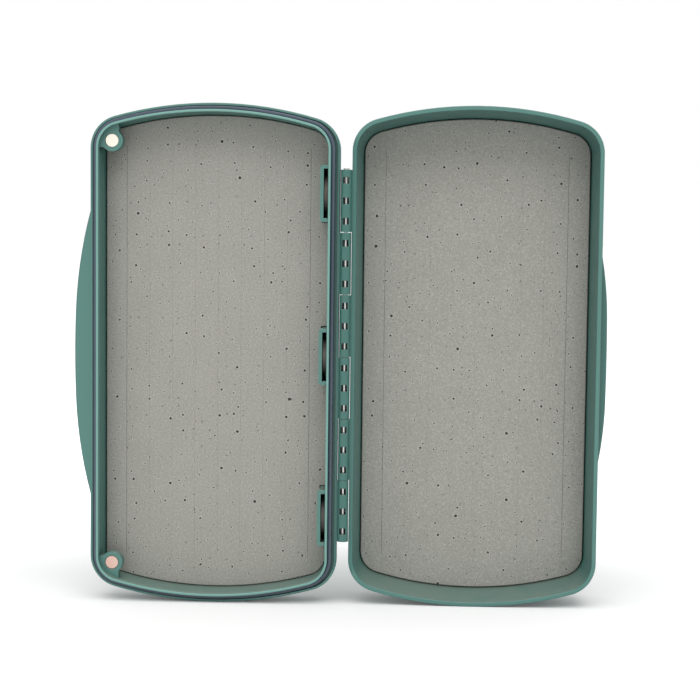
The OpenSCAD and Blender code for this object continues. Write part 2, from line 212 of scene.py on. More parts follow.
class Graph:
    """Short ways to lay out and join nodes in one tree."""

    def __init__(self, tree: bpy.types.NodeTree) -> None:
        """Keeps the tree to work on."""
        self.tree = tree
        self.count = 0

    def add(self, kind: str, **settings: object) -> bpy.types.Node:
        """Adds a node and sets its properties.

        Args:
            kind: Blender's name of the node's type.
            **settings: Properties to set on it.

        Returns:
            The new node.
        """
        node = self.tree.nodes.new(kind)
        node.location = (220 * (self.count % 8), -260 * (self.count // 8))
        self.count += 1
        for name, value in settings.items():
            setattr(node, name, value)
        return node

    def join(self, source: bpy.types.NodeSocket, target: bpy.types.NodeSocket) -> None:
        """Joins an output to an input."""
        self.tree.links.new(source, target)

    def math(self, operation: str, first: object, second: object = 0.0) -> bpy.types.NodeSocket:
        """Adds a Math node whose inputs are sockets or numbers.

        Args:
            operation: The Math node's operation.
            first: The first input, a socket or a number.
            second: The second input, a socket or a number.

        Returns:
            The node's output.
        """
        node = self.add("ShaderNodeMath", operation=operation)
        for index, value in enumerate((first, second)):
            if isinstance(value, bpy.types.NodeSocket):
                self.join(value, node.inputs[index])
            else:
                node.inputs[index].default_value = value
        return node.outputs[0]

    def ramp(self, source: bpy.types.NodeSocket, low: float, high: float) -> bpy.types.NodeSocket:
        """Stretches a value so that low becomes 0 and high becomes 1, held within that range.

        Args:
            source: The value.
            low: The value that becomes 0.
            high: The value that becomes 1.

        Returns:
            The stretched value.
        """
        node = self.add("ShaderNodeMapRange", clamp=True, interpolation_type="SMOOTHSTEP")
        self.join(source, node.inputs["Value"])
        node.inputs["From Min"].default_value = low
        node.inputs["From Max"].default_value = high
        return node.outputs["Result"]

    def mix(self, factor: object, first: object, second: object, blend: str = "MIX") -> bpy.types.NodeSocket:
        """Mixes two colours.

        Args:
            factor: How much of the second colour shows, a socket or a number.
            first: The first colour, a socket or a value.
            second: The second colour, a socket or a value.
            blend: The blend type.

        Returns:
            The mixed colour.
        """
        node = self.add("ShaderNodeMix", data_type="RGBA", blend_type=blend)
        for index, value in ((0, factor), (6, first), (7, second)):
            if isinstance(value, bpy.types.NodeSocket):
                self.join(value, node.inputs[index])
            else:
                node.inputs[index].default_value = value
        return node.outputs[2]

    def place(self, stretch: tuple[float, float, float] = (1.0, 1.0, 1.0)) -> bpy.types.NodeSocket:
        """Gives the object's own coordinates in metres, stretched along each axis.

        Args:
            stretch: Factor for each axis.

        Returns:
            The coordinates.
        """
        source = self.add("ShaderNodeTexCoord").outputs["Object"]
        if stretch == (1.0, 1.0, 1.0):
            return source
        mapping = self.add("ShaderNodeMapping")
        mapping.inputs["Scale"].default_value = stretch
        self.join(source, mapping.inputs["Vector"])
        return mapping.outputs["Vector"]

    def noise(self, place: bpy.types.NodeSocket, scale: float, detail: float = 2.0,
              roughness: float = 0.5) -> bpy.types.NodeSocket:
        """Adds a noise and gives its value.

        Args:
            place: The coordinates.
            scale: Cells per metre.
            detail: Octaves of detail.
            roughness: Weight of the fine octaves.

        Returns:
            The value, around one half.
        """
        node = self.add("ShaderNodeTexNoise")
        self.join(place, node.inputs["Vector"])
        node.inputs["Scale"].default_value = scale
        node.inputs["Detail"].default_value = detail
        node.inputs["Roughness"].default_value = roughness
        return node.outputs["Fac"]


class SharedEffects:
    """Node groups that several finishes use, each built once."""

    CREVICE_REACH = 3.2 * MM
    FLECK_SCALE = 158.0
    SPECK_SCALE = 330.0
    RAGGED = 0.45 * MM
    LIP_REACH = 0.42 * MM
    LIP_START = 0.1 * MM

    def __init__(self) -> None:
        """Builds every group."""
        self.edges = self._edges()
        self.moulding = self._moulding()
        self.speckles = self._speckles()
        self.drawn = self._drawn()
        self.painted_top_light = self._painted_light_above()

    @staticmethod
    def _group(name: str, inputs: dict[str, float], outputs: dict[str, str]) -> tuple[Graph, dict, dict]:
        """Starts a group with named sockets.

        Args:
            name: The group's name.
            inputs: Names and default values of its number inputs.
            outputs: Names of its outputs and their socket types.

        Returns:
            The group's graph, its input sockets and its output sockets by name.
        """
        tree = bpy.data.node_groups.new(name, "ShaderNodeTree")
        for key, value in inputs.items():
            socket = tree.interface.new_socket(name=key, in_out="INPUT", socket_type="NodeSocketFloat")
            socket.default_value = value
        for key, kind in outputs.items():
            tree.interface.new_socket(name=key, in_out="OUTPUT", socket_type=kind)
        graph = Graph(tree)
        start = graph.add("NodeGroupInput")
        end = graph.add("NodeGroupOutput")
        return graph, {key: start.outputs[key] for key in inputs}, {key: end.inputs[key] for key in outputs}

    def _edges(self) -> bpy.types.NodeTree:
        """Finds outer edges and crevices, for painted edge highlights and painted crevice shade, and softens
        the edges' normals.

        Returns:
            A group with the outputs Edge, Crevice and Normal.
        """
        graph, given, out = self._group(
            "moulded_edges", {"Radius": 0.3 * MM},
            {"Edge": "NodeSocketFloat", "Crevice": "NodeSocketFloat", "Normal": "NodeSocketVector"})
        round_off = graph.add("ShaderNodeBevel", samples=6)
        graph.join(given["Radius"], round_off.inputs["Radius"])
        geometry = graph.add("ShaderNodeNewGeometry")
        dot = graph.add("ShaderNodeVectorMath", operation="DOT_PRODUCT")
        graph.join(round_off.outputs["Normal"], dot.inputs[0])
        graph.join(geometry.outputs["True Normal"], dot.inputs[1])
        turn = graph.math("SUBTRACT", 1.0, dot.outputs["Value"])
        hollow = graph.add("ShaderNodeAmbientOcclusion", samples=6)
        hollow.inputs["Distance"].default_value = self.CREVICE_REACH
        crevice = graph.math("SUBTRACT", 1.0, hollow.outputs["AO"])
        bare = graph.math("SUBTRACT", 1.0, graph.math("MULTIPLY", crevice, 0.6))
        edge = graph.math("MULTIPLY", graph.ramp(turn, 0.015, 0.25), bare)
        graph.join(edge, out["Edge"])
        graph.join(graph.ramp(crevice, 0.08, 0.6), out["Crevice"])
        graph.join(round_off.outputs["Normal"], out["Normal"])
        return graph.tree

    def _moulding(self) -> bpy.types.NodeTree:
        """Gives the fine grain and the slow change of tone of moulded plastic.

        Returns:
            A group with the outputs Tone and Height.
        """
        graph, given, out = self._group(
            "moulded_grain", {"Contrast": 1.0},
            {"Tone": "NodeSocketFloat", "Height": "NodeSocketFloat"})
        slow = graph.noise(graph.place((1.0, 1.0, 0.45)), 26.0, 3.0, 0.55)
        fine = graph.noise(graph.place(), 2400.0, 2.0, 0.6)
        tone = graph.math("ADD", graph.math("MULTIPLY", slow, 0.7), graph.math("MULTIPLY", fine, 0.3))
        away = graph.math("MULTIPLY", graph.math("SUBTRACT", tone, 0.5), given["Contrast"])
        graph.join(graph.math("ADD", away, 0.5), out["Tone"])
        graph.join(fine, out["Height"])
        return graph.tree

    def _speckles(self) -> bpy.types.NodeTree:
        """Scatters dark flecks of mixed sizes over the face of a sheet, and gives its fine grain.

        Returns:
            A group with the outputs Dark, RimHighlight, the ring round each fleck that gets a painted
            highlight, Tone, Grain and Height.
        """
        graph, given, out = self._group(
            "foam_flecks", {"Size": 1.0},
            {"Dark": "NodeSocketFloat", "RimHighlight": "NodeSocketFloat", "Tone": "NodeSocketFloat",
             "Grain": "NodeSocketFloat", "Height": "NodeSocketFloat"})
        place = graph.place()
        ragged = graph.add("ShaderNodeTexNoise")
        ragged.inputs["Scale"].default_value = 1500.0
        ragged.inputs["Detail"].default_value = 1.0
        graph.join(place, ragged.inputs["Vector"])
        away = graph.add("ShaderNodeVectorMath", operation="MULTIPLY_ADD")
        graph.join(ragged.outputs["Color"], away.inputs[0])
        away.inputs[1].default_value = (self.RAGGED,) * 3
        graph.join(place, away.inputs[2])
        part = graph.add("ShaderNodeSeparateXYZ")
        graph.join(away.outputs["Vector"], part.inputs[0])
        face = graph.add("ShaderNodeCombineXYZ")
        graph.join(part.outputs["X"], face.inputs["X"])
        graph.join(part.outputs["Z"], face.inputs["Y"])
        large, rim_highlight = self._flecks(
            graph, face.outputs[0], self.FLECK_SCALE, 0.235 * MM, 0.46 * MM, given["Size"])
        small, _ = self._flecks(
            graph, face.outputs[0], self.SPECK_SCALE, 0.09 * MM, 0.28 * MM, given["Size"])
        dark = graph.math("MAXIMUM", large, graph.math("MULTIPLY", small, 0.7))
        graph.join(dark, out["Dark"])
        graph.join(graph.math("MULTIPLY", rim_highlight, graph.math("SUBTRACT", 1.0, dark)), out["RimHighlight"])
        graph.join(graph.noise(place, 60.0, 3.0, 0.6), out["Tone"])
        fine = graph.noise(place, 1500.0, 2.0, 0.7)
        graph.join(fine, out["Grain"])
        cells = graph.add("ShaderNodeTexVoronoi", feature="F1")
        graph.join(place, cells.inputs["Vector"])
        cells.inputs["Scale"].default_value = 3400.0
        graph.join(graph.math("SUBTRACT", cells.outputs["Distance"], dark), out["Height"])
        return graph.tree

    @staticmethod
    def _flecks(graph: Graph, face: bpy.types.NodeSocket, scale: float, least: float, spread: float,
                size: bpy.types.NodeSocket) -> tuple[bpy.types.NodeSocket, bpy.types.NodeSocket]:
        """Marks flecks of random size on a face, one in each cell.

        Args:
            graph: The graph to work in.
            face: Coordinates along the face.
            scale: Cells per metre.
            least: Radius of the smallest fleck in metres.
            spread: How much larger the largest fleck is, in metres.
            size: Factor on every radius.

        Returns:
            The mask, 1 inside a fleck, and the mask of a fleck with the ring around it that gets a painted
            highlight.
        """
        cells = graph.add("ShaderNodeTexVoronoi", feature="F1", voronoi_dimensions="2D")
        graph.join(face, cells.inputs["Vector"])
        cells.inputs["Scale"].default_value = scale
        chance = graph.add("ShaderNodeSeparateColor")
        graph.join(cells.outputs["Color"], chance.inputs["Color"])
        rare = graph.math("MULTIPLY", chance.outputs[0], chance.outputs[0])
        grown = graph.math("MULTIPLY", graph.math("MULTIPLY", rare, chance.outputs[1]), spread * scale)
        radius = graph.math("MULTIPLY", graph.math("ADD", grown, least * scale), size)
        inside = graph.math("SUBTRACT", radius, cells.outputs["Distance"])
        lip = graph.ramp(inside, -SharedEffects.LIP_REACH * scale, -SharedEffects.LIP_START * scale)
        return graph.ramp(inside, -0.04 * MM * scale, 0.08 * MM * scale), lip

    def _drawn(self) -> bpy.types.NodeTree:
        """Gives the fine lines that drawing leaves along a wire, and faint smudges.

        Returns:
            A group with the outputs Lines and Smudge.
        """
        graph, given, out = self._group(
            "drawn_lines", {"Contrast": 1.0},
            {"Lines": "NodeSocketFloat", "Smudge": "NodeSocketFloat"})
        lines = graph.noise(graph.place((1.0, 1.0, 0.02)), 5200.0, 2.0, 0.6)
        away = graph.math("MULTIPLY", graph.math("SUBTRACT", lines, 0.5), given["Contrast"])
        graph.join(graph.math("ADD", away, 0.5), out["Lines"])
        graph.join(graph.noise(graph.place(), 420.0, 3.0, 0.6), out["Smudge"])
        return graph.tree

    def _painted_light_above(self) -> bpy.types.NodeTree:
        """Gives painted light from above, in patches, on faces that look up, and a mask that eases painted
        crevice shade on faces that look to the front.

        Returns:
            A group with the outputs TopLight, on faces that look up, and OffFront, low on faces that look to
            the front.
        """
        graph, given, out = self._group(
            "painted_overhead_light", {"Amount": 0.3}, {"TopLight": "NodeSocketFloat", "OffFront": "NodeSocketFloat"})
        part = graph.add("ShaderNodeSeparateXYZ")
        graph.join(graph.add("ShaderNodeTexCoord").outputs["Normal"], part.inputs[0])
        level = graph.ramp(part.outputs["Z"], 0.35, 0.95)
        patchy = graph.ramp(graph.noise(graph.place(), 90.0, 3.0, 0.6), 0.2, 0.6)
        held = graph.math("MULTIPLY", level, graph.math("ADD", graph.math("MULTIPLY", patchy, 0.4), 0.6))
        graph.join(graph.math("MULTIPLY", held, given["Amount"]), out["TopLight"])
        front = graph.ramp(part.outputs["Y"], -0.6, -0.95)
        graph.join(graph.math("SUBTRACT", 1.0, graph.math("MULTIPLY", front, 0.75)), out["OffFront"])
        return graph.tree


class Finish:
    """A finish: one material with a Principled shader, fed by shared effects."""

    name = "finish"

    def start(self) -> tuple[bpy.types.Material, Graph, bpy.types.Node]:
        """Makes an empty material with its shader.

        Returns:
            The material, its graph and the Principled shader.
        """
        material = bpy.data.materials.new(self.name)
        material.use_nodes = True
        material.node_tree.nodes.clear()
        graph = Graph(material.node_tree)
        shader = graph.add("ShaderNodeBsdfPrincipled")
        output = graph.add("ShaderNodeOutputMaterial")
        graph.join(shader.outputs["BSDF"], output.inputs["Surface"])
        return material, graph, shader

    @staticmethod
    def effect(graph: Graph, group: bpy.types.NodeTree, **values: float) -> bpy.types.Node:
        """Places a shared group in a material.

        Args:
            graph: The material's graph.
            group: The group to place.
            **values: Values of the group's inputs.

        Returns:
            The group node.
        """
        node = graph.add("ShaderNodeGroup")
        node.node_tree = group
        for key, value in values.items():
            node.inputs[key].default_value = value
        return node

    @staticmethod
    def bump(graph: Graph, height: bpy.types.NodeSocket, depth: float, strength: float,
             normal: bpy.types.NodeSocket | None = None) -> bpy.types.NodeSocket:
        """Turns a height into a normal.

        Args:
            graph: The material's graph.
            height: The height, from 0 to 1.
            depth: Depth of the relief in metres.
            strength: Weight of the relief.
            normal: The normal to start from, if it isn't the surface's own.

        Returns:
            The new normal.
        """
        node = graph.add("ShaderNodeBump")
        node.inputs["Distance"].default_value = depth
        node.inputs["Strength"].default_value = strength
        graph.join(height, node.inputs["Height"])
        if normal is not None:
            graph.join(normal, node.inputs["Normal"])
        return node.outputs["Normal"]


@dataclass(frozen=True)
class MouldedPlastic(Finish):
    """Satin moulded plastic with painted highlights on its edges, the lip's crest and the rims, painted
    light on faces that look up, and painted shade in the crevices.
    """

    name: str = "case_plastic"
    body: Color = srgb(57, 109, 101)
    light: Color = srgb(67, 120, 112)
    edge_highlight: Color = srgb(142, 184, 173)
    crevice_shade: Color = srgb(22, 51, 46)
    highlighted: Color = srgb(138, 190, 179)
    painted_top_light: Color = srgb(172, 168, 158)
    top_light_amount: float = 0.27
    rim_share: float = 0.2
    crest_share: float = 0.66
    edge_highlight_share: float = 0.75
    painted_shade_share: float = 0.85
    roughness: float = 0.38
    roughness_spread: float = 0.22
    gloss: float = 0.6
    edge_radius: float = 0.32 * MM
    crest_depth: float = 0.26 * MM
    rim_gap: float = 0.1 * MM
    rim_depth: float = 0.12 * MM
    hinge_half: float = 3.0 * MM
    hinge_fade: float = 1.5 * MM

    def build(self, effects: SharedEffects) -> bpy.types.Material:
        """Builds the material from the shared effects."""
        material, graph, shader = self.start()
        edges = self.effect(graph, effects.edges, Radius=self.edge_radius)
        grain = self.effect(graph, effects.moulding, Contrast=1.3)
        tone = graph.mix(grain.outputs["Tone"], self.body, self.light)
        # Painted highlights: the rims' level, the lip's crest and the outer edges are mixed toward pale
        # greens.
        crest, rim = self._highlight_levels(graph)
        rim_lit = graph.mix(graph.math("MULTIPLY", rim, self.rim_share), tone, self.highlighted)
        crest_lit = graph.mix(graph.math("MULTIPLY", crest, self.crest_share), rim_lit, self.highlighted)
        edge = graph.math("MULTIPLY", edges.outputs["Edge"], self.edge_highlight_share)
        highlighted = graph.mix(edge, crest_lit, self.edge_highlight)
        painted_top_light = self.effect(graph, effects.painted_top_light, Amount=self.top_light_amount)
        # Painted shade: crevices darken towards a deep green, less on faces that look to the front.
        painted_shade = graph.math("MULTIPLY", edges.outputs["Crevice"], painted_top_light.outputs["OffFront"])
        shaded = graph.mix(graph.math("MULTIPLY", painted_shade, self.painted_shade_share), highlighted, self.crevice_shade)
        # Painted light: faces that look up are mixed toward a pale grey, in patches, standing for light from
        # above.
        color = graph.mix(painted_top_light.outputs["TopLight"], shaded, self.painted_top_light)
        graph.join(color, shader.inputs["Base Color"])
        away = graph.math("SUBTRACT", grain.outputs["Tone"], 0.5)
        spread = graph.math("MULTIPLY", away, self.roughness_spread)
        graph.join(graph.math("ADD", spread, self.roughness), shader.inputs["Roughness"])
        normal = self.bump(graph, grain.outputs["Height"], 0.02 * MM, 0.35, edges.outputs["Normal"])
        graph.join(normal, shader.inputs["Normal"])
        shader.inputs["Specular IOR Level"].default_value = self.gloss
        return material

    def _highlight_levels(self, graph: Graph) -> tuple[bpy.types.NodeSocket, bpy.types.NodeSocket]:
        """Finds the lip's crest and the faces at the level of the rims, which get a painted highlight.

        Args:
            graph: The material's graph.

        Returns:
            The crest's mask and the mask of what lies at the rims' level or in front of it, off the hinge.
        """
        lip_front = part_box("base_shell")[0].y
        pin_low, pin_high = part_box("hinge_pin")
        rim_front = (pin_low.y + pin_high.y) / 2 + self.rim_gap
        part = graph.add("ShaderNodeSeparateXYZ")
        graph.join(graph.place(), part.inputs[0])
        crest = graph.ramp(part.outputs["Y"], lip_front + self.crest_depth, lip_front + 0.05 * MM)
        rim = graph.ramp(part.outputs["Y"], rim_front + self.rim_depth, rim_front + 0.02 * MM)
        from_pin = graph.math("SUBTRACT", part.outputs["X"], (pin_low.x + pin_high.x) / 2)
        off_hinge = graph.ramp(
            graph.math("ABSOLUTE", from_pin), self.hinge_half, self.hinge_half + self.hinge_fade)
        return crest, graph.math("MULTIPLY", rim, off_hinge)


@dataclass(frozen=True)
class SpeckledFoam(Finish):
    """Fine matt foam sheet with scattered dark flecks, a painted highlight round each fleck and painted
    shade near the walls.
    """

    name: str = "pad_foam"
    body: Color = srgb(184, 182, 175)
    shade: Color = srgb(172, 170, 163)
    pale: Color = srgb(226, 224, 217)
    dark: Color = srgb(34, 32, 30)
    roughness: float = 0.9
    pit_share: float = 0.15
    bright_share: float = 0.24
    lip_share: float = 0.34
    fleck_share: float = 0.9
    side_shade: float = 0.22
    foot_shade: float = 0.04
    foot_reach: float = 12.0 * MM

    def build(self, effects: SharedEffects) -> bpy.types.Material:
        """Builds the material from the shared effects."""
        material, graph, shader = self.start()
        flecks = self.effect(graph, effects.speckles, Size=1.0)
        tone = graph.mix(flecks.outputs["Tone"], self.shade, self.body)
        grain = graph.ramp(flecks.outputs["Grain"], 0.66, 0.34)
        pitted = graph.mix(graph.math("MULTIPLY", grain, self.pit_share), tone, self.dark)
        bright = graph.ramp(flecks.outputs["Grain"], 0.5, 0.74)
        grained = graph.mix(graph.math("MULTIPLY", bright, self.bright_share), pitted, self.pale)
        # Painted highlight: a pale ring round each fleck.
        lip = graph.math("MULTIPLY", flecks.outputs["RimHighlight"], self.lip_share)
        lipped = graph.mix(lip, grained, self.pale)
        fleck = graph.math("MULTIPLY", flecks.outputs["Dark"], self.fleck_share)
        color = graph.mix(fleck, lipped, self.dark)
        # Painted shade: the foam darkens near the walls, most along the case's outer sides.
        near_wall = graph.add("ShaderNodeAmbientOcclusion", samples=6)
        near_wall.inputs["Distance"].default_value = self.foot_reach
        painted_shade = graph.ramp(near_wall.outputs["AO"], 0.92, 0.35)
        at_side = graph.math("MULTIPLY", self._outer_sides(graph), self.side_shade)
        held = graph.math("ADD", at_side, self.foot_shade)
        wall_shaded = graph.mix(graph.math("MULTIPLY", painted_shade, held), color, self.dark)
        graph.join(wall_shaded, shader.inputs["Base Color"])
        spread = graph.math("MULTIPLY", flecks.outputs["Grain"], -0.1)
        graph.join(graph.math("ADD", spread, self.roughness), shader.inputs["Roughness"])
        graph.join(self.bump(graph, flecks.outputs["Height"], 0.05 * MM, 0.4), shader.inputs["Normal"])
        shader.inputs["Specular IOR Level"].default_value = 0.25
        return material

    def _outer_sides(self, graph: Graph) -> bpy.types.NodeSocket:
        """Finds the strips of the pads along the case's two outer sides, where the painted shade near the
        walls is strongest.

        Args:
            graph: The material's graph.

        Returns:
            The mask, 1 at the outer side of each pad.
        """
        part = graph.add("ShaderNodeSeparateXYZ")
        graph.join(graph.place(), part.inputs[0])
        sides = (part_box("base_pad")[0].x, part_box("lid_pad")[1].x)
        gaps = [graph.math("ABSOLUTE", graph.math("SUBTRACT", part.outputs["X"], side)) for side in sides]
        return graph.ramp(graph.math("MINIMUM", *gaps), self.foot_reach, 1.0 * MM)


@dataclass(frozen=True)
class SealRubber(Finish):
    """Smooth slate-blue rubber with a soft sheen, paler patches at random and a painted highlight along its
    edges.
    """

    name: str = "gasket_rubber"
    body: Color = srgb(62, 75, 90)
    bloom_and_highlight: Color = srgb(92, 106, 122)
    roughness: float = 0.3

    def build(self, effects: SharedEffects) -> bpy.types.Material:
        """Builds the material from the shared effects."""
        material, graph, shader = self.start()
        grain = self.effect(graph, effects.moulding, Contrast=1.8)
        edges = self.effect(graph, effects.edges, Radius=0.15 * MM)
        tone = graph.mix(grain.outputs["Tone"], self.body, self.bloom_and_highlight)
        # Painted highlight: the edges are mixed toward the paler colour.
        color = graph.mix(graph.math("MULTIPLY", edges.outputs["Edge"], 0.25), tone, self.bloom_and_highlight)
        graph.join(color, shader.inputs["Base Color"])
        spread = graph.math("MULTIPLY", graph.math("SUBTRACT", grain.outputs["Tone"], 0.5), 0.3)
        graph.join(graph.math("ADD", spread, self.roughness), shader.inputs["Roughness"])
        graph.join(self.bump(graph, grain.outputs["Height"], 0.01 * MM, 0.25), shader.inputs["Normal"])
        shader.inputs["Specular IOR Level"].default_value = 0.5
        return material


@dataclass(frozen=True)
class BrightMetal(Finish):
    """Bright metal with fine lines and faint smudges."""

    name: str = "pin_steel"
    body: Color = srgb(208, 208, 205)
    dull: Color = srgb(168, 168, 166)
    roughness: float = 0.22
    metallic: float = 1.0
    line_depth: float = 0.004 * MM

    def build(self, effects: SharedEffects) -> bpy.types.Material:
        """Builds the material from the shared effects."""
        material, graph, shader = self.start()
        drawn = self.effect(graph, effects.drawn, Contrast=1.4)
        color = graph.mix(drawn.outputs["Smudge"], self.body, self.dull)
        graph.join(color, shader.inputs["Base Color"])
        spread = graph.math("MULTIPLY", drawn.outputs["Smudge"], 0.18)
        graph.join(graph.math("ADD", spread, self.roughness), shader.inputs["Roughness"])
        graph.join(self.bump(graph, drawn.outputs["Lines"], self.line_depth, 0.4), shader.inputs["Normal"])
        shader.inputs["Metallic"].default_value = self.metallic
        return material


@dataclass(frozen=True)
class AdhesiveFilm(Finish):
    """Thin milky adhesive film."""

    name: str = "pad_adhesive"
    body: Color = srgb(224, 224, 217)
    shade: Color = srgb(205, 205, 197)
    roughness: float = 0.55

    def build(self, effects: SharedEffects) -> bpy.types.Material:
        """Builds the material from the shared effects."""
        material, graph, shader = self.start()
        grain = self.effect(graph, effects.moulding, Contrast=1.5)
        graph.join(graph.mix(grain.outputs["Tone"], self.shade, self.body), shader.inputs["Base Color"])
        spread = graph.math("MULTIPLY", grain.outputs["Tone"], 0.1)
        graph.join(graph.math("ADD", spread, self.roughness), shader.inputs["Roughness"])
        graph.join(self.bump(graph, grain.outputs["Height"], 0.01 * MM, 0.3), shader.inputs["Normal"])
        return material


@dataclass
class FoamPad:
    """One foam pad with nine slits for the hooks, a hair larger than the solid that it stands for."""

    side: Side
    finish: bpy.types.Material
    slit_width: float = 0.35 * MM
    slit_depth: float = 0.5 * MM
    slit_closed: float = 0.08
    outer_closed: float = 0.3
    spread: float = 0.27 * MM
    edge_round: float = 0.016 * MM
    edge_steps: int = 2
    bevel_angle: float = 40.0
    smooth_angle: float = 50.0

    @property
    def node(self) -> str:
        """The node that the pad stands for."""
        return f"{self.side.value}_pad"

    def build(self) -> bpy.types.Object:
        """Models the pad.

        Returns:
            The finished piece.
        """
        piece = Bench.merged_copy(self.node, f"{self.side.value}_foam_pad")
        self._spread(piece)
        slits = self._slit_places(piece)
        Bench.bevel(piece, self.edge_round, self.edge_steps, self.bevel_angle)
        self._close_slits(piece, slits)
        Bench.smooth(piece, self.smooth_angle)
        Bench.level(piece)
        Bench.dress(piece, self.finish)
        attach(piece, self.side.value)
        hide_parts(self.node)
        return piece

    def _spread(self, piece: bpy.types.Object) -> None:
        """Widens the pad a little all round, so that it all but meets the walls as soft foam does."""
        low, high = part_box(self.node)
        size = high - low
        middle = (low + high) / 2
        Bench.edit(piece)
        bpy.ops.mesh.select_all(action="SELECT")
        bpy.ops.transform.resize(value=(1 + 2 * self.spread / size.x, 1.0, 1 + 2 * self.spread / size.z),
                                 center_override=tuple(middle))
        bpy.ops.object.mode_set(mode="OBJECT")

    def _slit_places(self, piece: bpy.types.Object) -> list[float]:
        """Finds where the slits run, from the points on their floors.

        Args:
            piece: The pad, merged.

        Returns:
            The middle of each slit across the case, from left to right.
        """
        near = 0.05 * MM
        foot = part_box(self.node)[0].y + self.slit_depth
        places = sorted({round(point.co.x / near) * near for point in piece.data.vertices
                         if abs(point.co.y - foot) < near})
        return [(left + right) / 2 for left, right in zip(places[::2], places[1::2])]

    def _close_slits(self, piece: bpy.types.Object, slits: list[float]) -> None:
        """Draws the walls and lips of each slit together, as they lie in foam slit with a blade.

        Args:
            piece: The pad, with rounded lips.
            slits: The middle of each slit across the case.
        """
        near = 0.05 * MM
        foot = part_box(self.node)[0].y + self.slit_depth + near
        reach = self.slit_width / 2 + near
        Bench.edit(piece)
        for middle in slits:
            outer = middle in (slits[0], slits[-1])
            Bench.pick_points(piece, lambda point, x=middle: point.y < foot and abs(point.x - x) < reach)
            bpy.ops.transform.resize(value=(self.outer_closed if outer else self.slit_closed, 1.0, 1.0),
                                     center_override=(middle, foot, 0.0))
        bpy.ops.object.mode_set(mode="OBJECT")


@dataclass
class RimGasket:
    """The rubber ring in the rim of the base, run round from a splice beside the hinge."""

    finish: bpy.types.Material
    corner_radius: float = 12.0 * MM
    end_radius: float = 134.0 * MM
    edge_inset: float = 1.05 * MM
    width: float = 1.4 * MM
    crown: float = 0.3 * MM
    splice_gap: float = 0.1 * MM
    section_points: int = 20
    corner_steps: int = 14
    end_steps: int = 40

    def build(self) -> bpy.types.Object:
        """Models the ring.

        Returns:
            The finished piece.
        """
        low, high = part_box("rim_gasket")
        middle = (low + high) / 2
        half_w = (high.x - low.x - self.width) / 2
        half_l = (high.z - low.z - self.width) / 2
        corner_r = self.corner_radius - self.edge_inset - self.width / 2
        end_r = self.end_radius - self.edge_inset - self.width / 2
        bend_x = half_w - corner_r
        end_mid = half_l - end_r
        bend_z = end_mid + math.sqrt((end_r - corner_r) ** 2 - bend_x ** 2)
        turn = math.atan2(bend_z - end_mid, bend_x)
        arch = math.pi - 2 * turn

        piece = self._section(Vector((middle.x + half_w, low.y, middle.z + self.splice_gap / 2)), high.y)
        self._straight(bend_z - self.splice_gap / 2)
        self._bend(middle, bend_x, bend_z, turn)
        self._arch(middle, end_mid, arch)
        self._bend(middle, -bend_x, bend_z, turn)
        self._straight(-2 * bend_z)
        self._bend(middle, -bend_x, -bend_z, turn)
        self._arch(middle, -end_mid, arch)
        self._bend(middle, bend_x, -bend_z, turn)
        self._straight(bend_z - self.splice_gap / 2)
        self._close(piece)
        Bench.smooth(piece, 50.0)
        Bench.dress(piece, self.finish)
        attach(piece, Side.BASE.value)
        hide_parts("rim_gasket")
        return piece

    def _section(self, top: Vector, back: float) -> bpy.types.Object:
        """Draws the ring's section at the splice: a crown on a straight-sided foot.

        Args:
            top: The middle of the section's front face.
            back: Depth of the groove's floor.

        Returns:
            The piece, in edit mode with the section selected.
        """
        Bench.clear()
        half = self.width / 2
        bpy.ops.mesh.primitive_circle_add(
            vertices=self.section_points, radius=half, location=(top.x, top.y + self.crown, top.z))
        piece = bpy.context.active_object
        piece.name = "rim_gasket_ring"
        piece.data.name = piece.name
        Bench.take(piece)
        bpy.ops.object.transform_apply(location=True, rotation=True, scale=True)
        Bench.edit(piece)
        middle_y = top.y + self.crown
        Bench.pick_points(piece, lambda point: point.y < middle_y + 0.001 * MM)
        bpy.ops.transform.resize(value=(1.0, self.crown / half, 1.0),
                                 center_override=(top.x, middle_y, top.z))
        Bench.pick_points(piece, lambda point: point.y > middle_y + 0.001 * MM)
        bpy.ops.transform.resize(value=(1.0, 0.35, 1.0), center_override=(top.x, middle_y, top.z))
        Bench.pick_points(piece, lambda point: point.y > middle_y + 0.001 * MM)
        bpy.ops.transform.translate(value=(0.0, back - middle_y - 0.35 * half, 0.0))
        bpy.ops.mesh.select_all(action="SELECT")
        return piece

    @staticmethod
    def _straight(length: float) -> None:
        """Runs the selected section on along the case by a length."""
        bpy.ops.mesh.extrude_region_move(TRANSFORM_OT_translate={"value": (0.0, 0.0, length)})

    def _bend(self, middle: Vector, x: float, z: float, angle: float) -> None:
        """Turns the selected section round a corner.

        Args:
            middle: The middle of the ring.
            x: The corner's centre across the case.
            z: The corner's centre along the case.
            angle: How far it turns, in radians.
        """
        bpy.ops.mesh.spin(steps=self.corner_steps, angle=angle, axis=(0.0, 1.0, 0.0),
                          center=(middle.x + x, middle.y, middle.z + z))

    def _arch(self, middle: Vector, z: float, angle: float) -> None:
        """Carries the selected section over a curved end.

        Args:
            middle: The middle of the ring.
            z: The end's centre along the case.
            angle: How far it turns, in radians.
        """
        bpy.ops.mesh.spin(steps=self.end_steps, angle=angle, axis=(0.0, 1.0, 0.0),
                          center=(middle.x, middle.y, middle.z + z))

    @staticmethod
    def _close(piece: bpy.types.Object) -> None:
        """Closes both cut ends at the splice and turns the faces outwards."""
        bpy.ops.mesh.select_all(action="DESELECT")
        bpy.ops.mesh.select_mode(type="EDGE")
        bpy.ops.mesh.select_non_manifold()
        bpy.ops.mesh.edge_face_add()
        bpy.ops.mesh.select_all(action="SELECT")
        bpy.ops.mesh.remove_doubles(threshold=0.001 * MM)
        bpy.ops.mesh.normals_make_consistent(inside=False)
        bpy.ops.object.mode_set(mode="OBJECT")


